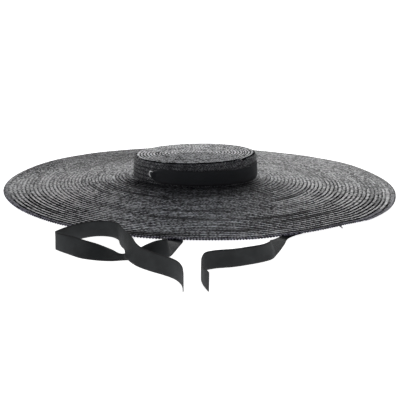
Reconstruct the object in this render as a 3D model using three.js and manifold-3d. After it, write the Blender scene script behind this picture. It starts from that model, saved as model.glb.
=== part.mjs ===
// A wide-brimmed, low-crowned straw hat with a grosgrain ribbon, resting on a level surface.
// Millimetres, +Z up. The origin is on the surface, under the middle of the rim. The hat is laid with the long
// axis of its oval crown along X, and the two ribbon ends lie in front of it, towards -Y.
import * as THREE from "three";
import { mergeVertices } from "three/addons/utils/BufferGeometryUtils.js";
import Module from "manifold-3d";

const wasm = await Module();
wasm.setup();

// Straw
const STRAW = 2; // thickness of the sewn plait
const CROWN_X = -8; // the brim is wider at the +X end than at the -X end
const BASE_HALF_LENGTH = 99.8; // foot of the crown, along X
const BASE_HALF_WIDTH = 79; // foot of the crown, along Y
const BASE_HEIGHT = 22.6; // middle of the straw at the foot of the crown, above the surface
const FOOT_OVAL = 1.263; // length of the crown's oval over its width, at the foot
const TOP_OVAL = 1.334; // the same at the top
const TIP_TILT = 3.3; // rise of the crown's top towards +X, and its fall towards -X
const TIP_HEIGHT = 36.6; // edge of the crown's top above its foot
const RIM_HALF_LENGTH = 315;
const RIM_HALF_WIDTH = 295;
const RIM_OFFSET = 216.2; // the rim runs this far outside a plain oval
const BRIM_DROOP = 19.2; // fall of the brim from the crown's foot to the rim
const BRIM_FLATTENING = 7.1; // share of that fall that the outer brim gives back
const RIM_MEAN_LIFT = 2.4; // height of the rim's underside where the brim has its plain droop
const CLEARANCE = 0.3; // gap between neighbouring pieces
const AROUND = 80; // facets round the oval

// Ribbon and eyelets
const RIBBON_WIDTH = 25;
const BAND_WIDTH = 22.6; // the ribbon is drawn in where it is pulled snug round the crown
const RIBBON = 1; // thickness
const EYELET_ANGLE = 133.5; // from the +X end, round the oval
const EYELET_HEIGHT = 16; // above the crown's foot
const EYELET_FLANGE_RADIUS = 4.9;
const EYELET_BORE_RADIUS = 3.1;
const EYELET_BARREL_RADIUS = 3.7;
const EYELET_FLANGE = 0.7;
const EYELET_SEAT = 0.55; // flange to straw, because the wall is curved
const WALL_AT_EYELET = 2.35; // the oval wall's thickness there, square to it

// Crown wall and tip, from the foot up. Outer half width of the oval, and height above the foot.
const CROWN_ROWS = [
  { half_width: 79, height: -STRAW / 2 },
  { half_width: 78.5, height: 3 },
  { half_width: 77.3, height: 12 },
  { half_width: 76, height: 22 },
  { half_width: 75, height: 30 },
  { half_width: 73.8, height: 34 },
  { half_width: 71.2, height: 36.6 },
  { half_width: 51.5, height: 37 },
  { half_width: 25, height: 37.3 },
  { half_width: 0, height: 37.5 },
];

// Height of the rim's underside above the surface, every 15 degrees from the +X end, seen from above.
const RIM_LIFT = [
  2.4, 1.9, 2.8, 1.2, 0.0, 0.2, 0.0, 0.8, 1.2, 2.0, 2.8, 2.2,
  2.6, 4.4, 3.8, 3.4, 3.4, 2.8, 3.2, 2.8, 4.9, 5.8, 2.0, 0.9,
];

// The band's centre line: angle round the oval, height of its middle above the crown's foot, width.
const BAND_ROWS = [
  { angle: -128, height: 14.1, width: 15.4 },
  { angle: -125.5, height: 14.3, width: 18.4 },
  { angle: -122.5, height: 14.6, width: 21.4 },
  { angle: -119, height: 14.6, width: BAND_WIDTH },
  { angle: -108, height: 13.9, width: BAND_WIDTH },
  { angle: -90, height: 13.4, width: BAND_WIDTH },
  { angle: -61, height: 12.4, width: BAND_WIDTH },
  { angle: -37, height: 12.1, width: BAND_WIDTH },
  { angle: 0, height: 12.1, width: BAND_WIDTH },
  { angle: 37, height: 12.1, width: BAND_WIDTH },
  { angle: 90, height: 13.4, width: BAND_WIDTH },
  { angle: 108, height: 13.9, width: BAND_WIDTH },
  { angle: 119, height: 14.6, width: BAND_WIDTH },
  { angle: 122.5, height: 14.6, width: 21.4 },
  { angle: 125.5, height: 14.3, width: 18.4 },
  { angle: 128, height: 14.1, width: 15.4 },
];

// How the band's gathered end goes over the flange and into the bore: distance along the wall from the
// eyelet's centre, height above that centre, distance out from the wall, width.
const BAND_END = [
  { along: 5.8, rise: -1.9, out: 2.5, width: 13 },
  { along: 3.9, rise: -1.6, out: 3, width: 10.5 },
  { along: 2.1, rise: -0.8, out: 2.8, width: 7.5 },
  { along: 0.9, rise: -0.2, out: 1.3, width: 5 },
  { along: 0.3, rise: 0, out: -0.2, width: 4.2 },
  { along: 0, rise: 0, out: -1.2, width: 4 },
];

// The two ties, from the eyelet to the free end. x, y and z follow the edge of the ribbon on the traveller's
// left. lean is the ribbon's tilt from upright, in degrees: 0 stands on that edge and -90 lies flat to the right.
// swing turns the width away from square to the path, and width is less than full where it is gathered.
const TIE_LEFT_ROWS = [
  { x: -76.9, y: -53, z: 36.9, lean: -90, swing: 0, width: 4 },
  { x: -74.9, y: -50.3, z: 36.6, lean: -90, swing: 0, width: 4 },
  { x: -69, y: -45.5, z: 34, lean: -90, swing: 0, width: 6 },
  { x: -61, y: -47, z: 24.5, lean: -90, swing: 0, width: 10 },
  { x: -55, y: -57, z: 13.5, lean: -90, swing: 0, width: 16 },
  { x: -49, y: -80, z: 4.5, lean: -90, swing: 0, width: 23 },
  { x: -44, y: -120, z: 0.3, lean: -90, swing: 0, width: RIBBON_WIDTH },
  { x: -36, y: -190, z: 0, lean: -90, swing: 0, width: RIBBON_WIDTH },
  { x: -26, y: -265, z: 0, lean: -90, swing: 0, width: RIBBON_WIDTH },
  { x: -23, y: -292, z: 0, lean: -88, swing: 0, width: RIBBON_WIDTH },
  { x: -28, y: -316, z: 0, lean: -70, swing: 0, width: RIBBON_WIDTH },
  { x: -34, y: -342, z: 0, lean: -42, swing: 0, width: RIBBON_WIDTH },
  { x: -41, y: -362, z: 0, lean: -8, swing: 0, width: RIBBON_WIDTH },
  { x: -52, y: -370, z: 0, lean: -26, swing: 0, width: RIBBON_WIDTH },
  { x: -66, y: -373, z: 0, lean: -52, swing: 0, width: RIBBON_WIDTH },
  { x: -82, y: -375, z: 0, lean: -76, swing: 0, width: RIBBON_WIDTH },
  { x: -99, y: -378, z: 0, lean: -88, swing: 0, width: RIBBON_WIDTH },
  { x: -115, y: -382, z: 0, lean: -70, swing: 0, width: RIBBON_WIDTH },
  { x: -131, y: -381, z: 0, lean: -57, swing: 0, width: RIBBON_WIDTH },
  { x: -144, y: -377.5, z: 0, lean: -45, swing: 0, width: RIBBON_WIDTH },
  { x: -158, y: -371, z: 0, lean: -33, swing: 0, width: RIBBON_WIDTH },
  { x: -176, y: -354, z: 0, lean: -16, swing: 0, width: RIBBON_WIDTH },
  { x: -190, y: -339, z: 0, lean: 0, swing: 0, width: RIBBON_WIDTH },
  { x: -195, y: -332, z: 0, lean: 0, swing: 0, width: RIBBON_WIDTH },
  { x: -192, y: -323, z: 0, lean: -2, swing: 0, width: RIBBON_WIDTH },
  { x: -177, y: -298, z: 0, lean: -6, swing: 0, width: RIBBON_WIDTH },
  { x: -161, y: -280, z: 0, lean: -10, swing: 0, width: RIBBON_WIDTH },
  { x: -146, y: -271.5, z: 0, lean: -13, swing: 0, width: RIBBON_WIDTH },
  { x: -134, y: -270.5, z: 0, lean: -13, swing: 0, width: RIBBON_WIDTH },
  { x: -122, y: -275, z: 0, lean: -10, swing: 0, width: RIBBON_WIDTH },
  { x: -113, y: -287, z: 0, lean: -2, swing: 0, width: RIBBON_WIDTH },
  { x: -110, y: -304, z: 0, lean: 4, swing: 0, width: RIBBON_WIDTH },
  { x: -106, y: -324, z: 1.5, lean: 7, swing: 0, width: RIBBON_WIDTH },
  { x: -101, y: -345, z: 4.2, lean: 11, swing: 0, width: RIBBON_WIDTH },
  { x: -98.5, y: -365, z: 4.2, lean: 22, swing: 0, width: RIBBON_WIDTH },
  { x: -94, y: -386, z: 3.4, lean: 27, swing: 0, width: RIBBON_WIDTH },
  { x: -81, y: -405, z: 1, lean: 20, swing: 0, width: RIBBON_WIDTH },
  { x: -62, y: -422, z: 0, lean: 12, swing: 0, width: RIBBON_WIDTH },
  { x: -44, y: -437, z: 0, lean: 8, swing: 0, width: RIBBON_WIDTH },
  { x: -30, y: -453, z: 0, lean: 4, swing: 0, width: RIBBON_WIDTH },
  { x: -22, y: -474, z: 0, lean: 0, swing: 0, width: RIBBON_WIDTH },
  { x: -20, y: -498, z: 0, lean: 0, swing: 0, width: RIBBON_WIDTH },
];
const TIE_RIGHT_ROWS = [
  { x: -73.7, y: 55.4, z: 36.9, lean: -90, swing: 0, width: 4 },
  { x: -71.7, y: 52.7, z: 36.6, lean: -90, swing: 0, width: 4 },
  { x: -65, y: 48, z: 33, lean: -90, swing: 0, width: 6 },
  { x: -58, y: 40.5, z: 22.5, lean: -90, swing: 0, width: 11 },
  { x: -45.5, y: 26.5, z: 10, lean: -90, swing: 0, width: 18 },
  { x: -24, y: 3, z: 2, lean: -90, swing: 0, width: RIBBON_WIDTH },
  { x: 8, y: -34, z: 0, lean: -90, swing: 0, width: RIBBON_WIDTH },
  { x: 64, y: -106, z: 0, lean: -90, swing: 0, width: RIBBON_WIDTH },
  { x: 120, y: -182, z: 0, lean: -90, swing: 0, width: RIBBON_WIDTH },
  { x: 146, y: -228, z: 0, lean: -90, swing: 8, width: RIBBON_WIDTH },
  { x: 147, y: -246, z: 0, lean: -90, swing: 32, width: 23 },
  { x: 136, y: -258, z: 0, lean: -88, swing: 54, width: 20 },
  { x: 124, y: -275, z: 0, lean: -80, swing: 50, width: 18 },
  { x: 117.5, y: -300, z: 0, lean: -60, swing: 42, width: 19 },
  { x: 110, y: -326, z: 0, lean: -42, swing: 45, width: 22 },
  { x: 103, y: -348, z: 0, lean: -24, swing: 38, width: 24 },
  { x: 96, y: -366, z: 0, lean: -8, swing: 0, width: RIBBON_WIDTH },
  { x: 84, y: -377.5, z: 0, lean: 0, swing: 0, width: RIBBON_WIDTH },
  { x: 64, y: -390, z: 0, lean: 0, swing: 0, width: RIBBON_WIDTH },
  { x: 44, y: -400, z: 0, lean: 0, swing: 0, width: RIBBON_WIDTH },
  { x: 20, y: -407, z: 0, lean: 0, swing: 0, width: RIBBON_WIDTH },
  { x: 8, y: -415, z: 0, lean: 0, swing: 0, width: RIBBON_WIDTH },
  { x: 3.5, y: -430, z: 0, lean: 0, swing: 0, width: RIBBON_WIDTH },
  { x: 2, y: -452, z: 0, lean: 0, swing: 0, width: RIBBON_WIDTH },
  { x: 5, y: -474, z: 0, lean: 0, swing: 0, width: RIBBON_WIDTH },
  { x: 11, y: -496, z: 0, lean: 0, swing: 0, width: RIBBON_WIDTH },
];
const STEPS_PER_ROW = 3;

const radians = THREE.MathUtils.degToRad;

// A closed mesh whose corners are shared, with no faces of zero size.
function closed(geometry) {
  const bare = new THREE.BufferGeometry();
  bare.setAttribute("position", geometry.getAttribute("position"));
  bare.setIndex(geometry.index);
  const merged = mergeVertices(bare, 1e-4);
  const old = merged.index.array;
  const kept = [];
  for (let i = 0; i < old.length; i += 3) {
    const [a, b, c] = [old[i], old[i + 1], old[i + 2]];
    if (a !== b && b !== c && c !== a) kept.push(a, b, c);
  }
  merged.setIndex(kept);
  merged.computeVertexNormals();
  return merged;
}

function solidOf(geometry) {
  const bare = closed(geometry);
  return new wasm.Manifold(
    new wasm.Mesh({
      numProp: 3,
      vertProperties: bare.getAttribute("position").array,
      triVerts: new Uint32Array(bare.index.array),
    }),
  );
}

function geometryOf(solid) {
  const mesh = solid.getMesh();
  const geometry = new THREE.BufferGeometry();
  const position = new THREE.BufferAttribute(mesh.vertProperties, 3);
  geometry.setAttribute("position", position);
  geometry.setIndex(new THREE.BufferAttribute(mesh.triVerts, 1));
  geometry.computeVertexNormals();
  return geometry;
}

// Revolves a closed profile of [radius, height] pairs about Z, then lets place move each corner.
function turned(profile, segments, place) {
  const points = profile.map(([r, h]) => new THREE.Vector2(r, h));
  const geometry = new THREE.LatheGeometry(points, segments);
  geometry.rotateX(Math.PI / 2);
  const position = geometry.getAttribute("position");
  for (let i = 0; i < position.count; i++) {
    const x = position.getX(i);
    const y = position.getY(i);
    const moved = place(Math.hypot(x, y), Math.atan2(y, x), position.getZ(i));
    position.setXYZ(i, moved.x, moved.y, moved.z);
  }
  return closed(geometry);
}

// Height of the rim's underside at an angle, eased between the measured heights.
function rimLift(angle) {
  const count = RIM_LIFT.length;
  const at = ((angle / (2 * Math.PI)) * count + count) % count;
  const first = Math.floor(at);
  const ease = (1 - Math.cos(Math.PI * (at - first))) / 2;
  return THREE.MathUtils.lerp(
    RIM_LIFT[first % count],
    RIM_LIFT[(first + 1) % count],
    ease,
  );
}

// Middle of the brim's straw, at a share of the way from the crown's foot to the rim.
function brimHeight(share, angle) {
  const droop = (BRIM_DROOP + BRIM_FLATTENING) * share - BRIM_FLATTENING * share ** 2;
  return BASE_HEIGHT - droop + (rimLift(angle) - RIM_MEAN_LIFT) * share ** 2;
}

// A point at a distance square out from an oval.
function outsideOval(halfLength, halfWidth, offset, angle) {
  const nx = halfWidth * Math.cos(angle);
  const ny = halfLength * Math.sin(angle);
  const far = offset / Math.hypot(nx, ny);
  return new THREE.Vector2(
    halfLength * Math.cos(angle) + far * nx,
    halfWidth * Math.sin(angle) + far * ny,
  );
}

// A point on the brim, at a share of the way from the crown's foot to the rim.
function brimPoint(share, angle, height) {
  const foot = outsideOval(BASE_HALF_LENGTH, BASE_HALF_WIDTH, CLEARANCE, angle);
  const rim = outsideOval(
    RIM_HALF_LENGTH - RIM_OFFSET,
    RIM_HALF_WIDTH - RIM_OFFSET,
    RIM_OFFSET,
    angle,
  );
  foot.x += CROWN_X;
  const point = foot.lerp(rim, share);
  return new THREE.Vector3(point.x, point.y, height);
}

function crownPoint(halfWidth, angle, height) {
  const share = THREE.MathUtils.clamp(height / TIP_HEIGHT, 0, 1);
  const x = THREE.MathUtils.lerp(FOOT_OVAL, TOP_OVAL, share) * halfWidth * Math.cos(angle);
  const tilt = (TIP_TILT * x * share) / BASE_HALF_LENGTH;
  return new THREE.Vector3(
    CROWN_X + x,
    halfWidth * Math.sin(angle),
    BASE_HEIGHT + height + tilt,
  );
}

// Outer half width of the crown's wall at a height above its foot.
function wallHalfWidth(height) {
  const above = CROWN_ROWS.findIndex((row) => row.height >= height);
  const [low, high] = [CROWN_ROWS[above - 1], CROWN_ROWS[above]];
  const share = (height - low.height) / (high.height - low.height);
  return THREE.MathUtils.lerp(low.half_width, high.half_width, share);
}

// Centre, outward direction, direction round the wall and direction up the wall at a place on the crown.
function wallFrame(angle, height) {
  const at = (a, h) => crownPoint(wallHalfWidth(h), a, h);
  const centre = at(angle, height);
  const round = at(angle + 0.01, height).sub(at(angle - 0.01, height)).normalize();
  const up = at(angle, height + 1).sub(at(angle, height - 1)).normalize();
  const out = new THREE.Vector3().crossVectors(round, up).normalize();
  return { centre, out, round, up };
}

// A ribbon through sections that each name its two edges. It stays flat across its width.
function ribbon(sections, steps) {
  const lows = new THREE.CatmullRomCurve3(sections.map((s) => s.low));
  const highs = new THREE.CatmullRomCurve3(sections.map((s) => s.high));
  const count = (sections.length - 1) * steps;
  const ends = Array.from({ length: count + 1 }, (_, i) => ({
    low: lows.getPoint(i / count),
    high: highs.getPoint(i / count),
  }));
  const middle = (end) => end.low.clone().add(end.high);
  const corners = [];
  ends.forEach((end, i) => {
    const before = middle(ends[Math.max(i - 1, 0)]);
    const along = middle(ends[Math.min(i + 1, count)]).sub(before);
    const across = end.high.clone().sub(end.low);
    const face = new THREE.Vector3().crossVectors(across, along).setLength(RIBBON / 2);
    corners.push(end.low.clone().sub(face), end.high.clone().sub(face));
    corners.push(end.high.clone().add(face), end.low.clone().add(face));
  });
  const faces = [0, 1, 2, 0, 2, 3];
  for (let i = 0; i < count; i++) {
    for (let side = 0; side < 4; side++) {
      const a = 4 * i + side;
      const b = 4 * i + ((side + 1) % 4);
      // both faces are split along the same diagonal, so that they stay apart where the ribbon twists
      if (side === 2) faces.push(a, a + 4, b, b, a + 4, b + 4);
      else faces.push(a, b + 4, b, a, a + 4, b + 4);
    }
  }
  corners.forEach((corner) => {
    corner.z = Math.max(corner.z, 0);
  });
  const last = 4 * count;
  faces.push(last, last + 2, last + 1, last, last + 3, last + 2);
  const geometry = new THREE.BufferGeometry().setFromPoints(corners);
  geometry.setIndex(faces);
  return closed(geometry);
}

// The edges of a tie at each row. An edge that stands or lies on the surface is lifted by half its thickness
// there, so that it rests on it.
function tieSections(rows) {
  return rows.map((row, i) => {
    const before = rows[Math.max(i - 1, 0)];
    const after = rows[Math.min(i + 1, rows.length - 1)];
    const heading = Math.atan2(after.y - before.y, after.x - before.x);
    const side = heading + Math.PI / 2 + radians(row.swing);
    const lean = radians(row.lean);
    const lift = (RIBBON / 2) * Math.abs(Math.sin(lean)) + 0.02;
    const low = new THREE.Vector3(row.x, row.y, row.z + lift);
    const across = new THREE.Vector3(
      Math.sin(lean) * Math.cos(side),
      Math.sin(lean) * Math.sin(side),
      Math.cos(lean),
    );
    return { low, high: low.clone().addScaledVector(across, row.width) };
  });
}

function crown() {
  const outer = CROWN_ROWS.map((row) => [row.half_width, row.height]);
  const inner = [
    [0, 37.5 - STRAW],
    [25, 37.3 - STRAW],
    [51.5, 37 - STRAW],
    [70.2, 36.4 - STRAW],
    [71.7, 32.8],
    [73, 30],
    [74, 22],
    [75.3, 12],
    [76.5, 3],
    [77, -STRAW / 2],
  ];
  const profile = [...outer, ...inner, outer[0]];
  let solid = solidOf(turned(profile, AROUND, crownPoint));
  for (const angle of [-EYELET_ANGLE, EYELET_ANGLE]) {
    const hole = new THREE.CylinderGeometry(
      EYELET_BARREL_RADIUS + CLEARANCE,
      EYELET_BARREL_RADIUS + CLEARANCE,
      12,
      16,
    );
    hole.applyMatrix4(eyeletPlace(angle));
    solid = solid.subtract(solidOf(hole));
  }
  return geometryOf(solid);
}

function brim() {
  const rings = 12;
  const shares = Array.from({ length: rings + 1 }, (_, i) => i / rings);
  const profile = shares.map((share) => [1 + share, -STRAW / 2]);
  profile.push(...shares.reverse().map((share) => [1 + share, STRAW / 2]));
  profile.push(profile[0]);
  return turned(profile, AROUND, (radius, angle, side) =>
    brimPoint(radius - 1, angle, brimHeight(radius - 1, angle) + side),
  );
}

// Carries a shape whose axis is Y to an eyelet's place in the wall, with +Y out of the hat.
function eyeletPlace(degrees) {
  const frame = wallFrame(radians(degrees), EYELET_HEIGHT);
  const place = new THREE.Matrix4().makeBasis(frame.round, frame.out, frame.up);
  if (place.determinant() < 0) {
    place.makeBasis(frame.round.clone().negate(), frame.out, frame.up);
  }
  return place.setPosition(frame.centre);
}

function eyelet(degrees) {
  const outside = EYELET_SEAT;
  const inside = -WALL_AT_EYELET - EYELET_SEAT;
  const profile = [
    [EYELET_BORE_RADIUS, inside - EYELET_FLANGE],
    [EYELET_FLANGE_RADIUS, inside - EYELET_FLANGE],
    [EYELET_FLANGE_RADIUS, inside],
    [EYELET_BARREL_RADIUS, inside],
    [EYELET_BARREL_RADIUS, outside],
    [EYELET_FLANGE_RADIUS - 0.2, outside],
    [EYELET_FLANGE_RADIUS, outside + 0.3],
    [EYELET_FLANGE_RADIUS - 0.9, outside + EYELET_FLANGE],
    [EYELET_BORE_RADIUS + 0.5, outside + EYELET_FLANGE],
    [EYELET_BORE_RADIUS, outside + 0.2],
    [EYELET_BORE_RADIUS, inside - EYELET_FLANGE],
  ];
  const points = profile.map(([r, h]) => new THREE.Vector2(r, h));
  const geometry = new THREE.LatheGeometry(points, 28);
  geometry.applyMatrix4(eyeletPlace(degrees));
  return closed(geometry);
}

function band() {
  const outOfWall = CLEARANCE + RIBBON / 2 + 0.2;
  const section = (frame, along, rise, out, width) => {
    const middle = frame.centre
      .clone()
      .addScaledVector(frame.round, along)
      .addScaledVector(frame.up, rise)
      .addScaledVector(frame.out, out);
    return {
      low: middle.clone().addScaledVector(frame.up, -width / 2),
      high: middle.clone().addScaledVector(frame.up, width / 2),
    };
  };
  const endOf = (degrees, towards) => {
    const frame = wallFrame(radians(degrees), EYELET_HEIGHT);
    return BAND_END.map((row) =>
      section(frame, towards * row.along, row.rise, row.out, row.width),
    );
  };
  const sections = [];
  for (let i = 0; i < BAND_ROWS.length; i++) {
    const row = BAND_ROWS[i];
    const next = BAND_ROWS[i + 1] ?? row;
    const parts = Math.max(1, Math.round((next.angle - row.angle) / 6));
    for (let k = 0; k < (next === row ? 1 : parts); k++) {
      const share = k / parts;
      const angle = THREE.MathUtils.lerp(row.angle, next.angle, share);
      const height = THREE.MathUtils.lerp(row.height, next.height, share);
      const width = THREE.MathUtils.lerp(row.width, next.width, share);
      const frame = wallFrame(radians(angle), height);
      sections.push(section(frame, 0, 0, outOfWall, width));
    }
  }
  return ribbon(
    [...endOf(-EYELET_ANGLE, 1).reverse(), ...sections, ...endOf(EYELET_ANGLE, -1)],
    1,
  );
}

const straw = new THREE.MeshStandardMaterial({ color: 0x57575a, roughness: 0.75 });
const strawCrown = new THREE.MeshStandardMaterial({ color: 0x626264, roughness: 0.75 });
const grosgrain = new THREE.MeshStandardMaterial({ color: 0x16181b, roughness: 0.85 });
const tieCloth = new THREE.MeshStandardMaterial({ color: 0x2d3032, roughness: 0.85 });
const metal = new THREE.MeshStandardMaterial({
  color: 0xd6d6d8,
  roughness: 0.2,
  metalness: 1,
});

const hat = new THREE.Group();
function add(name, geometry, material) {
  const mesh = new THREE.Mesh(geometry, material.clone());
  mesh.name = name;
  hat.add(mesh);
}
add("crown", crown(), strawCrown);
add("brim", brim(), straw);
add("ribbon_band", band(), grosgrain);
add("eyelet_near", eyelet(-EYELET_ANGLE), metal);
add("eyelet_far", eyelet(EYELET_ANGLE), metal);
add("tie_left", ribbon(tieSections(TIE_LEFT_ROWS), STEPS_PER_ROW), tieCloth);
add("tie_right", ribbon(tieSections(TIE_RIGHT_ROWS), STEPS_PER_ROW), tieCloth);

export default hat;
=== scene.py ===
"""Looks for the straw hat: coiled straw plait, a grosgrain ribbon with two loose ends, and metal eyelets."""

import math
from types import SimpleNamespace

import bpy
import numpy as np
from mathutils import Matrix, Vector


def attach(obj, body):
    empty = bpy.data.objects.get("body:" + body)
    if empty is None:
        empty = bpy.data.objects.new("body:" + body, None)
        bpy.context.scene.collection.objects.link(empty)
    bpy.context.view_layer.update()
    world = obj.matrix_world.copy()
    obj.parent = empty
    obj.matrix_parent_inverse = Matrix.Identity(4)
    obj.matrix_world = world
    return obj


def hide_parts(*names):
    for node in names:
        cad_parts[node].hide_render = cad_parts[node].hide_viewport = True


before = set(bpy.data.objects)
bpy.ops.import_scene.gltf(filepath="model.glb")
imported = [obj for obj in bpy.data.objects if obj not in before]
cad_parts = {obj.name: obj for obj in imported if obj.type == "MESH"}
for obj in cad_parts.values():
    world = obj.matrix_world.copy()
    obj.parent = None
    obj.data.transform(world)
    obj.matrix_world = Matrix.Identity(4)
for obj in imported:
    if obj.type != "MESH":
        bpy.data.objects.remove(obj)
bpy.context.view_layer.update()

MM = 0.001

# Sizes in millimetres, as in the part's source
CROWN_X = -8.0
BASE_HALF_LENGTH = 99.8
BASE_HALF_WIDTH = 79.0
BASE_HEIGHT = 22.6
FOOT_OVAL = 1.263
TOP_OVAL = 1.334
TIP_TILT = 3.3
TIP_HEIGHT = 36.6
RIM_HALF_LENGTH = 315.0
RIM_HALF_WIDTH = 295.0
RIM_OFFSET = 216.2
BRIM_DROOP = 19.2
BRIM_FLATTENING = 7.1
RIM_MEAN_LIFT = 2.4
CLEARANCE = 0.3
RIBBON_WIDTH = 25.0
BAND_WIDTH = 22.6
EYELET_ANGLE = 133.5
EYELET_HEIGHT = 16.0
RIM_LIFT = (2.4, 1.9, 2.8, 1.2, 0.0, 0.2, 0.0, 0.8, 1.2, 2.0, 2.8, 2.2)
RIM_LIFT += (2.6, 4.4, 3.8, 3.4, 3.4, 2.8, 3.2, 2.8, 4.9, 5.8, 2.0, 0.9)

# Crown profile from the foot up: outer half width, height above the foot
CROWN_ROWS = (
    (79.0, -1.0),
    (78.5, 3.0),
    (77.3, 12.0),
    (76.0, 22.0),
    (75.0, 30.0),
    (73.8, 34.0),
    (71.2, 36.6),
    (51.5, 37.0),
    (25.0, 37.3),
    (0.0, 37.5),
)

# Plait, in millimetres. A half pitch is half of a crossing along the row. LAP is the share of a row that lies under
# the row inside it, STEP how far that tucked edge lies below the outer edge, and TUCK how far the tucked edge of the
# brim's rows reaches up again into the row over it.
HALF_PITCH = 2.25
LAP = 0.3
TUCK = 0.45
STEP = 1.05
CROWN_STEP_SHARE = 0.55
PLAIT_THICKNESS = 0.8
EDGE_THICKNESS_SHARE = 0.55
PLAIT_RISE = 0.1
RELIEF = 0.17
WALL_RELIEF_SHARE = 0.35
SCALLOP = 0.4
SAMPLES_A_TURN = 720
# Unevenness of the crossings: size and length of each wave
UNEVEN = ((3.0, 61.0), (4.0, 97.0), (7.0, 233.0))
# Points across a row
ACROSS = 5
# Rim row: where it starts before the last turn, how far it reaches out, how much thicker it is above and below
RIM_START = 0.04
RIM_REACH = 0.16
RIM_THICKER = (0.3, 1.0)
RIM_SCALLOP = 1.05
RIM_SINK = 0.45
# Row at the edge of the tip, which stands out over the wall
TIP_OVERHANG = 0.16
TIP_EDGE_RISE = 0.5
# Half width of the tip's edge, and how its rows turn from a straight line in the middle into ovals
TIP_EDGE = 71.2
LINE_STEEPNESS = 2.2
OVAL_GROWTH = 1.5
# Rows and turns of both coils, the width of a row on the wall, and that of the brim's first row as a share of the brim
TIP_ROWS = 14
CROWN_TURNS = 22.5
WALL_PITCH = 7.0
BRIM_ROWS = 35
BRIM_TURNS = BRIM_ROWS + 0.999
BRIM_FIRST_ROW = 0.0264
# Angle in degrees at which the coil steps outwards. The step takes a whole turn up to the first of the turns given,
# and the share of a turn given from the second on.
CROWN_STEP = -50.0
CROWN_STEP_TURNS = (5, TIP_ROWS - 2, 0.05)
BRIM_STEP = -37.0
BRIM_STEP_TURNS = (8, BRIM_ROWS - 2, 0.08)
# How far the straw's underside lies below the surface that it follows: the crown's outer face, the brim's middle
CROWN_DEPTH = 0.6
BRIM_DEPTH = -0.35
# Stray straw: its angle and share of the brim's width, how far it starts below the brim, how far its end lies from
# its start, how it bends down, the direction of its width, its size, and how much narrower its end is
STRAY_ANGLE = -45.6
STRAY_SHARE = 0.995
STRAY_DROP = 0.6
STRAY_REACH = (4.6, -1.5, -3.4)
STRAY_BEND = 1.4
STRAY_ACROSS = (0.6, 0.2, 0.8)
STRAY_HALF_WIDTH = 0.95
STRAY_HALF_THICKNESS = 0.15
STRAY_NARROWING = 0.4
STRAY_SECTIONS = 5
# What the second number of the lay is raised by on the rim row, on the row under the tip's edge, on the wall's rows
RIM_LAY = 10
UNDER_TIP_LAY = 20
WALL_LAY = 40
# Lowest point of any piece over the floor
LEAST_HEIGHT = 0.02

# Band: angle round the oval, height of its middle above the foot, width
BAND_ROWS = (
    (-128.0, 14.1, 15.4),
    (-125.5, 14.3, 18.4),
    (-122.5, 14.6, 21.4),
    (-119.0, 14.6, BAND_WIDTH),
    (-108.0, 13.9, BAND_WIDTH),
    (-90.0, 13.4, BAND_WIDTH),
    (-61.0, 12.4, BAND_WIDTH),
    (-37.0, 12.1, BAND_WIDTH),
    (0.0, 12.1, BAND_WIDTH),
    (37.0, 12.1, BAND_WIDTH),
    (90.0, 13.4, BAND_WIDTH),
    (108.0, 13.9, BAND_WIDTH),
    (119.0, 14.6, BAND_WIDTH),
    (122.5, 14.6, 21.4),
    (125.5, 14.3, 18.4),
    (128.0, 14.1, 15.4),
)
# Gathered end of the band at an eyelet: along the wall, above the eyelet's centre, out of the wall, width
BAND_END = (
    (5.8, -1.9, 2.5, 13.0),
    (3.9, -1.6, 3.0, 10.5),
    (2.1, -0.8, 2.8, 7.5),
    (0.9, -0.2, 1.3, 5.0),
    (0.3, 0.0, -0.2, 4.2),
    (0.0, 0.0, -1.2, 4.0),
)

# Ties: x, y and z of the edge on the traveller's left, lean from upright, swing, width
TIE_LEFT_ROWS = (
    (-76.9, -53.0, 36.9, -90, 0, 4),
    (-74.9, -50.3, 36.6, -90, 0, 4),
    (-69, -45.5, 34, -90, 0, 6),
    (-61, -47, 24.5, -90, 0, 10),
    (-55, -57, 13.5, -90, 0, 16),
    (-49, -80, 4.5, -90, 0, 23),
    (-44, -120, 0.3, -90, 0, 25),
    (-36, -190, 0, -90, 0, 25),
    (-26, -265, 0, -90, 0, 25),
    (-23, -292, 0, -88, 0, 25),
    (-28, -316, 0, -70, 0, 25),
    (-34, -342, 0, -42, 0, 25),
    (-41, -362, 0, -8, 0, 25),
    (-52, -370, 0, -26, 0, 25),
    (-66, -373, 0, -52, 0, 25),
    (-82, -375, 0, -76, 0, 25),
    (-99, -378, 0, -88, 0, 25),
    (-115, -382, 0, -70, 0, 25),
    (-131, -381, 0, -57, 0, 25),
    (-144, -377.5, 0, -45, 0, 25),
    (-158, -371, 0, -33, 0, 25),
    (-176, -354, 0, -16, 0, 25),
    (-190, -339, 0, 0, 0, 25),
    (-195, -332, 0, 0, 0, 25),
    (-192, -323, 0, -2, 0, 25),
    (-177, -298, 0, -6, 0, 25),
    (-161, -280, 0, -10, 0, 25),
    (-146, -271.5, 0, -13, 0, 25),
    (-134, -270.5, 0, -13, 0, 25),
    (-122, -275, 0, -10, 0, 25),
    (-113, -287, 0, -2, 0, 25),
    (-110, -304, 0, 4, 0, 25),
    (-106, -324, 1.5, 7, 0, 25),
    (-101, -345, 4.2, 11, 0, 25),
    (-98.5, -365, 4.2, 22, 0, 25),
    (-94, -386, 3.4, 27, 0, 25),
    (-81, -405, 1, 20, 0, 25),
    (-62, -422, 0, 12, 0, 25),
    (-44, -437, 0, 8, 0, 25),
    (-30, -453, 0, 4, 0, 25),
    (-22, -474, 0, 0, 0, 25),
    (-20, -498, 0, 0, 0, 25),
)
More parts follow.
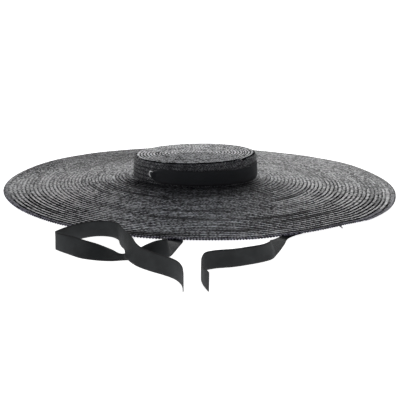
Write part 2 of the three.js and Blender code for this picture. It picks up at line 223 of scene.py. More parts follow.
TIE_RIGHT_ROWS = (
    (-73.7, 55.4, 36.9, -90, 0, 4),
    (-71.7, 52.7, 36.6, -90, 0, 4),
    (-65, 48, 33, -90, 0, 6),
    (-58, 40.5, 22.5, -90, 0, 11),
    (-45.5, 26.5, 10, -90, 0, 18),
    (-24, 3, 2, -90, 0, 25),
    (8, -34, 0, -90, 0, 25),
    (64, -106, 0, -90, 0, 25),
    (120, -182, 0, -90, 0, 25),
    (146, -228, 0, -90, 8, 25),
    (147, -246, 0, -90, 32, 23),
    (136, -258, 0, -88, 54, 20),
    (124, -275, 0, -80, 50, 18),
    (117.5, -300, 0, -60, 42, 19),
    (110, -326, 0, -42, 45, 22),
    (103, -348, 0, -24, 38, 24),
    (96, -366, 0, -8, 0, 25),
    (84, -377.5, 0, 0, 0, 25),
    (64, -390, 0, 0, 0, 25),
    (44, -400, 0, 0, 0, 25),
    (20, -407, 0, 0, 0, 25),
    (8, -415, 0, 0, 0, 25),
    (3.5, -430, 0, 0, 0, 25),
    (2, -452, 0, 0, 0, 25),
    (5, -474, 0, 0, 0, 25),
    (11, -496, 0, 0, 0, 25),
)

# Ribbons. One that lies flat is lifted by half the thickness of the part's ribbon.
FLAT_LIFT = 0.5
# About how many degrees lie between two sections of the band, and how far out of the wall its middle is
BAND_SECTION = 6
BAND_OUT = 1.0
RIBBON_THICKNESS = 0.9
SELVEDGE_THICKNESS_SHARE = 0.8
RIBBON_COLUMNS = 10
PLEATS = 3
PLEAT_DEPTH = 1.1
RIPPLE = 0.12
RIB_PITCH = 0.9
BAND_COLOUR = (0.022, 0.024, 0.029)
BAND_SELVEDGE = (0.016, 0.016, 0.02)
TIE_COLOUR = (0.0265, 0.029, 0.031)
TIE_SELVEDGE = (0.018, 0.017, 0.018)

# Eyelet: radius and distance out of the wall of its closed profile
EYELET_INSIDE = -2.9
EYELET_PROFILE = (
    (3.1, EYELET_INSIDE - 0.5),
    (3.5, EYELET_INSIDE - 0.7),
    (4.2, EYELET_INSIDE - 0.7),
    (4.8, EYELET_INSIDE - 0.45),
    (4.9, EYELET_INSIDE - 0.1),
    (4.6, EYELET_INSIDE),
    (3.75, EYELET_INSIDE),
    (3.7, EYELET_INSIDE + 0.2),
    (3.7, 0.3),
    (4.0, 0.46),
    (4.6, 0.48),
    (4.88, 0.62),
    (4.9, 0.82),
    (4.7, 1.08),
    (4.3, 1.24),
    (3.9, 1.22),
    (3.5, 1.0),
    (3.2, 0.6),
    (3.1, 0.2),
)
EYELET_SIDES = 56

# Camera at the photo's angle: degrees, millimetres, and the focal length in pixels of a picture 400 wide
CAMERA_ELEVATION = 15.2504
CAMERA_ROLL = 0.6575
CAMERA_DISTANCE = 1900.0
CAMERA_FOCAL = 1162.26
CAMERA_AIM = (0.24, -41.956)
CAMERA_ZERO = 22.65
PICTURE_WIDTH = 400
SENSOR_WIDTH = 36.0

# Looks of the straw. A zone is where, in metres, it starts to show and where it is full. The back left has two more
# numbers, how much it shows at those two places.
DARK_STRAW = (0.005, 0.005, 0.007)
BRIM_STRAW = (0.6, 0.6, 0.615)
# the crown's straw is painted much lighter than the brim's, as painted light on its tip
LIT_CROWN_STRAW = (0.85, 0.845, 0.855)
COOL_STRAW = (0.93, 0.985, 1.08)
# the rim row's dark colour, and its light colour, which also carries the painted highlights on its scallops
RIM_DARK = (0.01, 0.0095, 0.017)
RIM_LIGHT = (0.22, 0.215, 0.29)
STRAW_ROUGHNESS = (0.3, 0.5)
GAP_ROUGHNESS = 0.95
FRONT_ZONE = (0.1, -0.2)
RIGHT_ZONE = (0.02, 0.2)
LEFT_ZONE = (-0.05, -0.2)
RIM_ZONE = (0.02, -0.16)
# the back, and the back left, where shade is painted on the brim
BACK_SHADE_ZONE = (0.05, 0.2)
BACK_LEFT_SHADE_ZONE = (0.05, -0.1, 0.12, 0.6)
# How much painted light makes the straw lighter: the part that counts at the front only, and the part that counts all
# along
PAINTED_LIGHT_RIGHT = (1.2, 0.14)
PAINTED_LIGHT_LEFT = (2.5, 0.1)
PAINTED_LIGHT_MIDDLE = 0.18
BASE_LIGHT = 0.98
# how dark the painted shadow of the crown is on the brim round the front of its foot
FOOT_PAINTED_SHADOW = 0.88
# Places across a row, counted in points, where the painted shade along its outer edge starts and where the
# painted shade along its inner edge ends, and how much further out the latter is on the row under the tip's edge
OUTER_PAINTED_SHADE = (3.1, 3.65)
INNER_PAINTED_SHADE = (0.9, 1.25)
TIP_EDGE_PAINTED_SHADE = 0.75
# Noises: scale and detail
GAP_NOISE = (55.0, 2.0)
PATCH_NOISE = (9.0, 3.0)
FINE_NOISE = (260.0, 2.0)
SPECKLE_NOISE = (700.0, 1.0)
FIBRE_NOISE = (2.0, 1.0)
SLOW_NOISE = (1.0, 1.0)
CLOTH_NOISE = (45.0, 3.0)
METAL_NOISE = (900.0, 3.0)
FLOOR_NOISE = (3.0, 3.0)
# Shares on the brim and the tip, and on the wall, where the photo shows a smoother plait
# GAP_SHARE scales the painted shade between the rows
GAP_SHARE = (1.0, 0.35)
PATCH_SHARE = (0.5, 0.05)
FINE_SHARE = (0.9, 0.05)
ROW_SHARE = (1.0, 0.3)
SHINE_SHARE = (1.0, 0.6)
BUMP_SHARE = (1.0, 0.4)
# Tone by row, and how much stronger it is at the front
ROW_TONE = 0.45
FRONT_ROW_TONE = 2.2
# Bumps: height in metres, strength
STRAW_BUMP = (0.00055, 0.8)
CLOTH_BUMP = (0.00012, 0.8)
METAL_BUMP = (0.00003, 0.4)

# Stage, in metres
FLOOR_HALF_SIZE = 10.0
FLOOR_LEVEL = -0.0003
FLOOR_GLOW = 0.93
WORLD_LIGHT = 0.14
# Soft lights: name, place, size, power
SOFTBOXES = (
    ("rear", (0.3, 2.2, 1.3), 1.4, 26),
    ("rear_left", (-2.0, 1.2, 1.3), 1.2, 10),
    ("rear_right", (1.5, 1.8, 1.3), 1.2, 8),
    ("front", (0.2, -2.0, 1.8), 1.4, 4),
    ("front_left", (-2.2, -0.4, 0.8), 0.8, 6),
)


def place_camera():
    data = bpy.data.cameras.new("camera")
    camera = bpy.data.objects.new("camera", data)
    bpy.context.collection.objects.link(camera)
    data.sensor_fit = "HORIZONTAL"
    data.sensor_width = SENSOR_WIDTH
    data.lens = CAMERA_FOCAL / PICTURE_WIDTH * SENSOR_WIDTH
    data.clip_start, data.clip_end = 0.05, 50
    e, r = math.radians(CAMERA_ELEVATION), math.radians(CAMERA_ROLL)
    ax, az = CAMERA_AIM

    def unroll(a, b, c):
        return Vector((a * math.cos(r) - c * math.sin(r), b, a * math.sin(r) + c * math.cos(r)))

    right = unroll(1, 0, 0)
    up = unroll(0, math.sin(e), math.cos(e))
    back = unroll(0, -math.cos(e), math.sin(e))
    at = unroll(ax, -CAMERA_DISTANCE * math.cos(e), az + CAMERA_DISTANCE * math.sin(e))
    at.z += CAMERA_ZERO
    turn = Matrix((right, up, back)).transposed().to_4x4()
    camera.matrix_world = Matrix.Translation(at * MM) @ turn
    bpy.context.scene.camera = camera


# Surfaces of the straw


def rim_lift(angle):
    """Height of the rim's underside over the floor, eased between the values of the table."""
    count = len(RIM_LIFT)
    at = (angle / (2 * math.pi) * count) % count
    first = np.floor(at).astype(int)
    ease = (1 - np.cos(math.pi * (at - first))) / 2
    lift = np.array(RIM_LIFT)
    return lift[first % count] * (1 - ease) + lift[(first + 1) % count] * ease


def outside_oval(half_length, half_width, offset, angle):
    """Point at a distance outside an ellipse, along the direction square to it."""
    nx, ny = half_width * np.cos(angle), half_length * np.sin(angle)
    far = offset / np.hypot(nx, ny)
    return half_length * np.cos(angle) + far * nx, half_width * np.sin(angle) + far * ny


def brim_surface(share, angle):
    """Middle of the brim's straw from its foot, share 0, to the rim, share 1, and the direction square to it."""
    droop = (BRIM_DROOP + BRIM_FLATTENING) * share - BRIM_FLATTENING * share**2
    z = BASE_HEIGHT - droop + (rim_lift(angle) - RIM_MEAN_LIFT) * share**2
    foot_x, foot_y = outside_oval(BASE_HALF_LENGTH, BASE_HALF_WIDTH, CLEARANCE, angle)
    foot_x = foot_x + CROWN_X
    rim_x, rim_y = outside_oval(RIM_HALF_LENGTH - RIM_OFFSET, RIM_HALF_WIDTH - RIM_OFFSET, RIM_OFFSET, angle)
    run_x, run_y = rim_x - foot_x, rim_y - foot_y
    width = np.hypot(run_x, run_y)
    slope = (BRIM_DROOP + BRIM_FLATTENING - 2 * BRIM_FLATTENING * share) / width
    x, y = foot_x + run_x * share, foot_y + run_y * share
    normal = np.stack([slope * run_x / width, slope * run_y / width, np.ones_like(x)], axis=-1)
    return np.stack([x, y, z], axis=-1), normal / np.linalg.norm(normal, axis=-1, keepdims=True)


CROWN_PATH = np.array(CROWN_ROWS[::-1])
CROWN_LENGTH = np.concatenate([[0], np.cumsum(np.hypot(*np.diff(CROWN_PATH, axis=0).T))])
TIP_LENGTH = CROWN_LENGTH[3]
# Turn of the straw's face from level, in degrees, at distances from the edge of the tip
EDGE_TURN = ((-5.0, 0.0), (-1.0, 6.0), (0.5, 30.0), (3.0, 55.0), (6.0, 76.0), (12.0, 83.0))


def oval_at(height):
    """Length over width of the crown at a height over its foot."""
    return FOOT_OVAL + (TOP_OVAL - FOOT_OVAL) * np.clip(height / TIP_HEIGHT, 0, 1)


def crown_surface(along, angle):
    """Outer face of the crown at a distance from the middle of the tip, and the direction out of the straw."""
    half_width = np.interp(along, CROWN_LENGTH, CROWN_PATH[:, 0])
    height = np.interp(along, CROWN_LENGTH, CROWN_PATH[:, 1])
    on_tip = along < TIP_LENGTH
    # the coil starts on a short straight line, and its rows turn into ovals towards the edge
    line = np.clip(LINE_STEEPNESS * np.cos(angle), -1, 1)
    grown = np.clip(half_width / TIP_EDGE, 0, 1) ** OVAL_GROWTH
    start = (TOP_OVAL - 1) * TIP_EDGE * (line * (1 - grown) + np.cos(angle) * grown)
    x = np.where(on_tip, half_width * np.cos(angle) + start, oval_at(height) * half_width * np.cos(angle))
    y = half_width * np.sin(angle)
    even = np.minimum(np.hypot(x / TOP_OVAL, y), TIP_EDGE)
    height = np.where(on_tip, np.interp(-even, -CROWN_PATH[3::-1, 0], CROWN_PATH[3::-1, 1]), height)
    tilt = TIP_TILT * x * np.clip(height / TIP_HEIGHT, 0, 1) / BASE_HALF_LENGTH
    turn = np.radians(np.interp(along - TIP_LENGTH, [e[0] for e in EDGE_TURN], [e[1] for e in EDGE_TURN]))
    nx, ny = BASE_HALF_WIDTH * np.cos(angle), BASE_HALF_LENGTH * np.sin(angle)
    long = np.hypot(nx, ny)
    normal = np.stack([np.sin(turn) * nx / long, np.sin(turn) * ny / long, np.cos(turn)], axis=-1)
    return np.stack([CROWN_X + x, y, BASE_HEIGHT + height + tilt], axis=-1), normal


# Meshes


def new_object(name, mesh):
    obj = bpy.data.objects.new(name, mesh)
    bpy.context.collection.objects.link(obj)
    return obj


def mesh_from(name, points, faces, uv=None):
    """A smooth mesh from points in millimetres, corner numbers by face, and a UV pair for each point."""
    mesh = bpy.data.meshes.new(name)
    size = faces.shape[1]
    mesh.vertices.add(len(points))
    mesh.vertices.foreach_set("co", (points * MM).astype(np.float32).ravel())
    mesh.loops.add(faces.size)
    mesh.loops.foreach_set("vertex_index", faces.astype(np.int32).ravel())
    mesh.polygons.add(len(faces))
    mesh.polygons.foreach_set("loop_start", np.arange(0, faces.size, size, dtype=np.int32))
    mesh.polygons.foreach_set("use_smooth", np.full(len(faces), True))
    if uv is not None:
        layer = mesh.uv_layers.new(name="lay")
        layer.data.foreach_set("uv", uv[faces.ravel()].astype(np.float32).ravel())
    mesh.update(calc_edges=True)
    mesh.validate()
    return mesh


def run_along(points):
    """Length of a line of points up to each of them."""
    return np.concatenate([[0], np.cumsum(np.linalg.norm(np.diff(points, axis=0), axis=1))])


def plait_strip(name, surface, last, base, limit, depth, step_at, splits=1):
    """A strip of plait wound round the hat in overlapping rows, from turn 0 to the last.

    base gives the row count at the strip's inner visible edge for a turn angle, and limit the counts between
    which the strip is kept. depth is how far the straw's underside lies below the surface, and step_at the angle
    in degrees where each turn begins.
    """
    turns = np.linspace(0, last, int(last * SAMPLES_A_TURN) + 1)
    begin = math.radians(step_at)
    centre, _ = surface(np.clip(base(turns) + 0.5, *limit), begin - 2 * math.pi * turns)
    run = run_along(centre)
    count = int(run[-1] / HALF_PITCH)
    even = np.arange(count + 1) * HALF_PITCH
    # the crossings are a little uneven, so that those of neighbouring rows don't line up
    even = even + sum(size * np.sin(even / length) for size, length in UNEVEN)
    turns = np.interp(even, run, turns)
    objects = []
    for part in range(splits):
        steps = np.arange(count * part // splits, count * (part + 1) // splits + 1)
        piece = f"{name}_{part + 1}" if splits > 1 else name
        objects.append(strip_part(piece, surface, turns[steps], steps, base, limit, depth, begin))
    return objects


def strip_part(name, surface, turns, steps, base, limit, depth, begin):
    """The stretch of a strip between the given half crossings, as a closed mesh."""
    on_brim = limit[1] == BRIM_ROWS
    angle = (begin - 2 * math.pi * turns)[:, None]
    j = np.arange(ACROSS)[None, :]
    share = -LAP + (1 + LAP) * j / (ACROSS - 1)
    parity = np.where((steps[:, None] + j) % 2 == 0, 1.0, -1.0)
    edge = np.where(j == ACROSS - 1, 1.0, 0.0) - np.where(j == 0, 1.0, 0.0)

    rows = base(turns)[:, None]
    at_rim = (turns >= BRIM_ROWS - RIM_START)[:, None] & on_brim
    over_wall = (rows > TIP_ROWS - 1.5) & (rows < TIP_ROWS - 0.5) & (not on_brim)
    under_tip = (rows >= TIP_ROWS - 0.5) & (rows < TIP_ROWS + 0.5) & (not on_brim)
    on_wall = (rows >= TIP_ROWS + 0.5) & (not on_brim)

    row = rows + share + edge * parity * np.where(at_rim, RIM_SCALLOP, SCALLOP) / WALL_PITCH
    row = row + np.where(over_wall, TIP_OVERHANG, 0.0) * np.maximum(edge, 0)
    clipped = np.clip(row, limit[0], limit[1] + np.where(at_rim, RIM_REACH, 0.0))
    point, normal = surface(clipped, angle)

    step = STEP if on_brim else STEP * CROWN_STEP_SHARE
    rise = PLAIT_RISE - step * (1 - (share + LAP) / (1 + LAP))
    rise = rise + np.where(over_wall, TIP_EDGE_RISE, 0.0) * np.maximum(share, 0)
    rim = np.clip(clipped - (limit[1] - 1), 0, 1) if on_brim else np.zeros_like(clipped)
    rise = rise * (1 - rim**2) - RIM_SINK * rim**2
    slim = np.where(edge != 0, EDGE_THICKNESS_SHARE, 1.0)
    relief = RELIEF * np.where(on_wall | under_tip, WALL_RELIEF_SHARE, 1.0) * parity
    outwards = np.where(at_rim, 1.0, 0.0) * np.clip(share, 0, 1)
    top = rise + PLAIT_THICKNESS * (0.5 + 0.5 * slim) + relief + RIM_THICKER[0] * outwards
    # the tucked inner edge reaches up into the row over it, so that no light comes through between them
    top = top + (TUCK if on_brim else 0.0) * (j == 0)
    bottom = rise + PLAIT_THICKNESS * (0.5 - 0.5 * slim) - relief - RIM_THICKER[1] * outwards

    over = point + normal * (top - depth)[..., None]
    under = point + normal * (bottom - depth)[..., None]
    points = np.concatenate([over, under[:, ::-1]], axis=1).reshape(-1, 3)
    points[:, 2] = np.maximum(points[:, 2], LEAST_HEIGHT)
    lay = RIM_LAY * at_rim + UNDER_TIP_LAY * under_tip + WALL_LAY * on_wall
    v = np.concatenate([j, j[:, ::-1]], axis=1) + lay
    u = np.broadcast_to(steps[:, None], v.shape)
    uv = np.stack([u.ravel(), v.ravel()], axis=1).astype(float)
    triangles = strip_triangles(steps)
    # those that the limits of the rows have pressed flat are left out
    corner = points[triangles]
    area = np.linalg.norm(np.cross(corner[:, 1] - corner[:, 0], corner[:, 2] - corner[:, 0]), axis=1)
    return new_object(name, mesh_from(name, points, triangles[area > 1e-4], uv))


def strip_triangles(steps):
    """Two triangles for each cell of a strip, split so that the folds follow the straws, and those of its ends."""
    ring = 2 * ACROSS
    i = np.arange(len(steps) - 1)
    triangles = []
    for a in range(ring):
        b = (a + 1) % ring
        p, q, r, s = i * ring + a, (i + 1) * ring + a, (i + 1) * ring + b, i * ring + b
        column = a if a < ACROSS else ring - 1 - a
        even = (steps[:-1] + column) % 2 == 0
        pair = np.where(even[:, None], np.stack([p, q, s, q, r, s], axis=1), np.stack([p, q, r, p, r, s], axis=1))
        triangles.append(pair.reshape(-1, 3))
    last = len(i) * ring
    for end in (np.arange(ring), last + np.arange(ring)[::-1]):
        triangles.append(np.array([[end[0], end[k], end[k + 1]] for k in range(1, ring - 1)]))
    return np.concatenate(triangles)


def crown_by_rows(rows, angle):
    tip = rows * TIP_LENGTH / TIP_ROWS
    return crown_surface(np.where(rows < TIP_ROWS, tip, TIP_LENGTH + (rows - TIP_ROWS) * WALL_PITCH), angle)


def crown_row_limit():
    return TIP_ROWS + (CROWN_LENGTH[-1] - TIP_LENGTH) / WALL_PITCH


def brim_by_rows(rows, angle):
    growth = (1 - BRIM_FIRST_ROW * BRIM_ROWS) / BRIM_ROWS**3
    return brim_surface(BRIM_FIRST_ROW * rows + growth * rows**3, angle)


def stepped(turns, first, last, shortest):
    """Row count of the strip's inner edge. From the first turn to the last the step outwards gets shorter."""
    whole = np.floor(turns)
    stretch = np.interp(whole, [first, last], [1.0, shortest])
    return whole - 1 + np.clip((turns - whole - (1 - stretch)) / stretch, 0, 1)


def brim_base(turns):
    return stepped(turns, *BRIM_STEP_TURNS)


def crown_base(turns):
    return stepped(turns, *CROWN_STEP_TURNS)


# Ribbons


def catmull(points, share):
    """Points along a centripetal Catmull-Rom curve through the given points, at shares from 0 to 1."""
    points = np.asarray(points, float)
    count = len(points)
    at = np.clip(share, 0, 1) * (count - 1)
    first = np.minimum(np.floor(at).astype(int), count - 2)
    weight = (at - first)[:, None]
    padded = np.concatenate([[2 * points[0] - points[1]], points, [2 * points[-1] - points[-2]]])
    p0, p1, p2, p3 = (padded[first + k] for k in range(4))

    def step(a, b):
        return np.maximum(np.sum((a - b) ** 2, axis=1) ** 0.25, 1e-4)[:, None]

    d0, d1, d2 = step(p0, p1), step(p1, p2), step(p2, p3)
    t1 = ((p1 - p0) / d0 - (p2 - p0) / (d0 + d1) + (p2 - p1) / d1) * d1
    t2 = ((p2 - p1) / d1 - (p3 - p1) / (d1 + d2) + (p3 - p2) / d2) * d1
    c2 = -3 * p1 + 3 * p2 - 2 * t1 - t2
    c3 = 2 * p1 - 2 * p2 + t1 + t2
    return p1 + t1 * weight + c2 * weight**2 + c3 * weight**3


def tie_edges(rows):
    """Both edges of a tie, from the table of its edge on the traveller's left, the lower one where it stands."""
    rows = np.array(rows, float)
    before = rows[np.maximum(np.arange(len(rows)) - 1, 0)]
    after = rows[np.minimum(np.arange(len(rows)) + 1, len(rows) - 1)]
    heading = np.arctan2(after[:, 1] - before[:, 1], after[:, 0] - before[:, 0])
    side = heading + math.pi / 2 + np.radians(rows[:, 4])
    lean = np.radians(rows[:, 3])
    low = rows[:, :3].copy()
    low[:, 2] += FLAT_LIFT * np.abs(np.sin(lean)) + LEAST_HEIGHT
    across = np.stack([np.sin(lean) * np.cos(side), np.sin(lean) * np.sin(side), np.cos(lean)], axis=1)
    return low, low + across * rows[:, 5:6]


def ribbon_mesh(name, low, high, steps):
    """A woven ribbon between two edges, and its length. Where they are closer than its width it falls into pleats."""
    count = (len(low) - 1) * steps
    share = np.linspace(0, 1, count + 1)
    low, high = catmull(low, share), catmull(high, share)
    middle = (low + high) / 2
    along = np.gradient(middle, axis=0)
    along /= np.linalg.norm(along, axis=1, keepdims=True)
    across = high - low
    face = np.cross(across, along)
    face /= np.linalg.norm(face, axis=1, keepdims=True)
    run = run_along(middle)
    v = np.linspace(0, 1, RIBBON_COLUMNS + 1)
    narrower = np.clip(1 - np.linalg.norm(across, axis=1) / RIBBON_WIDTH, 0, 1)
    fold = np.cos(v[None, :] * math.pi * 2 * PLEATS) * (PLEAT_DEPTH * narrower**0.8)[:, None]
    wave = RIPPLE * np.sin(run[:, None] * 0.19 + 2.1 * v[None, :]) * np.sin(v * math.pi)[None, :]
    centre = low[:, None] + across[:, None] * v[None, :, None] + face[:, None] * (fold + wave)[..., None]
    half = np.full(len(v), RIBBON_THICKNESS / 2)
    half[[0, -1]] *= SELVEDGE_THICKNESS_SHARE
    over = centre + face[:, None] * half[None, :, None]
    under = centre - face[:, None] * half[None, :, None]
    points = np.concatenate([over, under[:, ::-1]], axis=1).reshape(-1, 3)
    points[:, 2] = np.maximum(points[:, 2], LEAST_HEIGHT)
    ring = 2 * len(v)
    uv = np.stack([np.repeat(run, ring), np.tile(np.concatenate([v, v[::-1]]), count + 1)], axis=1)
    i = np.arange(count)
    quads = []
    for a in range(ring):
        b = (a + 1) % ring
        quads.append(np.stack([i * ring + a, i * ring + b, (i + 1) * ring + b, (i + 1) * ring + a], axis=1))
    last = count * ring
    for k in range(RIBBON_COLUMNS):
        quads.append([[k, ring - 1 - k, ring - 2 - k, k + 1]])
        quads.append([[last + k, last + k + 1, last + ring - 2 - k, last + ring - 1 - k]])
    return new_object(name, mesh_from(name, points, np.concatenate(quads), uv)), run[-1]


def wall_half_width(height):
    return np.interp(height, [r[1] for r in CROWN_ROWS], [r[0] for r in CROWN_ROWS])


def wall_point(angle, height):
    """Point on the outside of the crown's wall at an angle round the oval."""
    half_width = wall_half_width(height)
    x = oval_at(height) * half_width * math.cos(angle)
    tilt = TIP_TILT * x * max(height, 0) / (BASE_HALF_LENGTH * TIP_HEIGHT)
    return np.array([CROWN_X + x, half_width * math.sin(angle), BASE_HEIGHT + height + tilt])


def wall_frame(angle, height):
    """The same point, and the directions out of the wall, along it and up it."""
    centre = wall_point(angle, height)
    around = wall_point(angle + 0.01, height) - wall_point(angle - 0.01, height)
    up = wall_point(angle, height + 1) - wall_point(angle, height - 1)
    around /= np.linalg.norm(around)
    up /= np.linalg.norm(up)
    out = np.cross(around, up)
    return centre, out / np.linalg.norm(out), around, up


def band_edges():
    """Both edges of the band, from the gathered end at one eyelet to that at the other."""
    low, high = [], []

    def section(place, along, rise, out, width):
        centre, outward, around, up = place
        middle = centre + around * along + up * rise + outward * out
        low.append(middle - up * width / 2)
        high.append(middle + up * width / 2)

    for along, rise, out, width in BAND_END[::-1]:
        section(wall_frame(math.radians(-EYELET_ANGLE), EYELET_HEIGHT), along, rise, out, width)
    for k, row in enumerate(BAND_ROWS):
        following = BAND_ROWS[k + 1] if k + 1 < len(BAND_ROWS) else None
        parts = max(1, round((following[0] - row[0]) / BAND_SECTION)) if following else 1
        for step in range(parts):
            share = step / parts
            angle, height, width = [a + (b - a) * share for a, b in zip(row, following or row)]
            section(wall_frame(math.radians(angle), height), 0, 0, BAND_OUT, width)
    for along, rise, out, width in BAND_END:
        section(wall_frame(math.radians(EYELET_ANGLE), EYELET_HEIGHT), -along, rise, out, width)
    return np.array(low), np.array(high)


# Materials


class Value:
    """A number, vector or colour in a material. Arithmetic on it adds math nodes."""

    def __init__(self, nodes, socket):
        self.nodes, self.socket = nodes, socket

    def __add__(self, other):
        return self.nodes.math("ADD", self, other)

    def __sub__(self, other):
        return self.nodes.math("SUBTRACT", self, other)

    def __rsub__(self, other):
        return self.nodes.math("SUBTRACT", other, self)

    def __mul__(self, other):
        return self.nodes.math("MULTIPLY", self, other)

    def __truediv__(self, other):
        return self.nodes.math("DIVIDE", self, other)

    def __mod__(self, other):
        return self.nodes.math("FLOORED_MODULO", self, other)

    def __pow__(self, other):
        return self.nodes.math("POWER", self, other)

    def __abs__(self):
        return self.nodes.math("ABSOLUTE", self)

    def at_least(self, other):
        return self.nodes.math("MAXIMUM", self, other)

    def at_most(self, other):
        return self.nodes.math("MINIMUM", self, other)


class Nodes:
    """A material, with short ways to add shader nodes to it."""

    def __init__(self, name):
        self.material = bpy.data.materials.new(name)
        self.material.use_nodes = True
        self.tree = self.material.node_tree
        self.shader = self.tree.nodes["Principled BSDF"]

    def node(self, kind, inputs, output=0, **settings):
        """Add a node, set or link its inputs by name or number, and give one output."""
        node = self.tree.nodes.new(kind)
        for key, value in settings.items():
            setattr(node, key, value)
        for key, value in inputs.items():
            self.put(node.inputs[key], value)
        return Value(self, node.outputs[output])

    def put(self, socket, value):
        if isinstance(value, Value):
            self.tree.links.new(value.socket, socket)
        else:
            socket.default_value = value

    def shade(self, **inputs):
        """Set or link inputs of the shader, with underscores for spaces."""
        for key, value in inputs.items():
            self.put(self.shader.inputs[key.replace("_", " ")], value)

    def math(self, operation, *values):
        return self.node("ShaderNodeMath", dict(enumerate(values)), operation=operation)

    def mix(self, share, a, b):
        return self.node("ShaderNodeMix", {0: share, 2: a, 3: b}, data_type="FLOAT")

    def blend(self, share, a, b):
        """Mix two colours, each a Value or three numbers."""
        a, b = (c if isinstance(c, Value) else (*c, 1) for c in (a, b))
        return self.node("ShaderNodeMix", {0: share, 6: a, 7: b}, 2, data_type="RGBA")

    def noise(self, vector, kind):
        scale, detail = kind
        return self.node("ShaderNodeTexNoise", {"Vector": vector, "Scale": scale, "Detail": detail}, "Fac")

    def white(self, vector):
        return self.node("ShaderNodeTexWhiteNoise", {"Vector": vector}, "Value", noise_dimensions="3D")

    def vector(self, x, y, z=0.0):
        return self.node("ShaderNodeCombineXYZ", {0: x, 1: y, 2: z})

    def spread(self, value, low, high, to_low=0.0, to_high=1.0):
        return self.node("ShaderNodeMapRange", {0: value, 1: low, 2: high, 3: to_low, 4: to_high})

    def split(self, vector):
        """The first two numbers of a vector."""
        first = self.node("ShaderNodeSeparateXYZ", {0: vector})
        return first, Value(self, first.socket.node.outputs[1])

    def lay(self):
        """Half crossings along a row, and points across it."""
        return self.split(self.node("ShaderNodeUVMap", {}, uv_map="lay"))

    def place(self):
        """The point in metres."""
        return self.node("ShaderNodeTexCoord", {}, "Object")

    def bump(self, height, distance, strength):
        return self.node("ShaderNodeBump", {"Strength": strength, "Distance": distance, "Height": height})


def weave(n, u, v):
    """Two sets of straws that cross: height, painted shade in the grooves, and numbers that differ by straw, by
    crossing and by fibre.
    """
    # the constants in the vectors only keep the random values apart
    a, b = (u + v) * 0.5, (u - v) * 0.5
    a0, b0 = n.math("ROUND", a), n.math("ROUND", b)
    xa, xb = a - a0, b - b0
    turn = (a0 + b0) % 2.0
    cross = n.mix(turn, xa, xb)
    along = n.mix(turn, xb, xa)
    strand = n.mix(turn, a0, b0 + 0.37)
    hue = n.white(n.vector(strand, turn, 3.1))
    cell = n.white(n.vector(a0, b0, 7.7))
    lean = n.white(n.vector(a0, b0, 1.9)) - 0.5
    fibre = n.noise(n.vector(cross * 9.0, along * 0.8, strand), FIBRE_NOISE)
    height = 1.0 - abs(cross) ** 2.0 * 3.4 - abs(along) ** 4.0 * 9.0 + fibre * 0.25
    groove_shade = n.spread(height, -0.1, 0.7)
    return height + lean * along * 2.2, groove_shade, hue, cell, fibre


def oval(n, x, y, half_length, half_width):
    """Distance from the middle of an oval, 1 on the oval itself."""
    return n.math("SQRT", (x / (half_length * MM)) ** 2.0 + (y / (half_width * MM)) ** 2.0)


def straw_zones(n, v, place):
    """Shares from 0 to 1 that tell the parts of the hat apart."""
    x, y = n.split(place)

    def lay_over(mark):
        # points across a row count from 0 to 4, so that the lay of a marked row lies over the mark less 1
        return n.spread(v, mark - 1.1, mark - 0.9)

    zone = SimpleNamespace(x=x, y=y)
    zone.wall = lay_over(UNDER_TIP_LAY)
    zone.tip_edge = zone.wall - lay_over(WALL_LAY)
    rim_row = lay_over(RIM_LAY) - zone.wall
    zone.not_rim = 1.0 - rim_row
    zone.rim = rim_row * n.spread(y, *RIM_ZONE)
    zone.front = n.spread(y, *FRONT_ZONE)
    zone.right, zone.left = n.spread(x, *RIGHT_ZONE), n.spread(x, *LEFT_ZONE)
    zone.ends = zone.right + zone.left
    # in the middle of the front the straw is a little bluer, and a little lighter with painted light
    zone.middle = zone.front * (1.0 - zone.ends).at_least(0.0)
    zone.from_middle = oval(n, x, y, RIM_HALF_LENGTH, RIM_HALF_WIDTH)
    from_crown = oval(n, x - CROWN_X * MM, y, BASE_HALF_LENGTH, BASE_HALF_WIDTH)
    # painted shadow of the crown on the brim round the front of its foot
    zone.foot = n.spread(from_crown, 2.0, 1.1) * n.spread(y, 0.0, -0.05) * n.spread(from_crown, 0.99, 1.02)
    # painted shade on the back left of the brim
    zone.back = n.spread(y, *BACK_SHADE_ZONE) * n.spread(x, *BACK_LEFT_SHADE_ZONE)
    return zone


def row_outside_painted_shade(n, zone, across, place, depths, widen):
    """1 on the body of a row, 0 where shade is painted: along its outer edge, and along its inner edge under the row
    inside it.
    """
    # the painted shade in the gaps between the rows is widest and darkest at the front, towards the two ends
    bolder_painted_shade = zone.front * (zone.ends * 0.6 + 0.4)
    depth = n.spread(n.noise(place, GAP_NOISE), 0.35, 0.65, *depths) + bolder_painted_shade
    depth = depth * n.mix(zone.wall, *GAP_SHARE)
    fade = n.spread(zone.from_middle, 0.7, 0.95, 0.0, 0.65) * n.spread(zone.y, -0.12, -0.02)
    fade = fade.at_least(zone.left * n.spread(zone.y, -0.12, -0.03, 0.0, 0.4))
    depth = (depth * (1.0 - fade)).at_most(1.0)
    outer = n.spread(across + (bolder_painted_shade * 0.8 + widen), *OUTER_PAINTED_SHADE)
    inner = n.spread(across - zone.tip_edge * TIP_EDGE_PAINTED_SHADE, *INNER_PAINTED_SHADE, 1.0, 0.0)
    # painted shadow under the overhanging edge of the tip, strong in the middle and faint towards its ends
    tip_edge_painted_shadow = zone.tip_edge * n.spread(abs(zone.x - CROWN_X * MM), 0.06, 0.095, 0.85, 0.1)
    painted_outer_shade = outer * depth * n.mix(zone.tip_edge, 1.0, 0.3) * zone.not_rim
    return 1.0 - painted_outer_shade.at_least(inner * depth.at_least(tip_edge_painted_shadow))


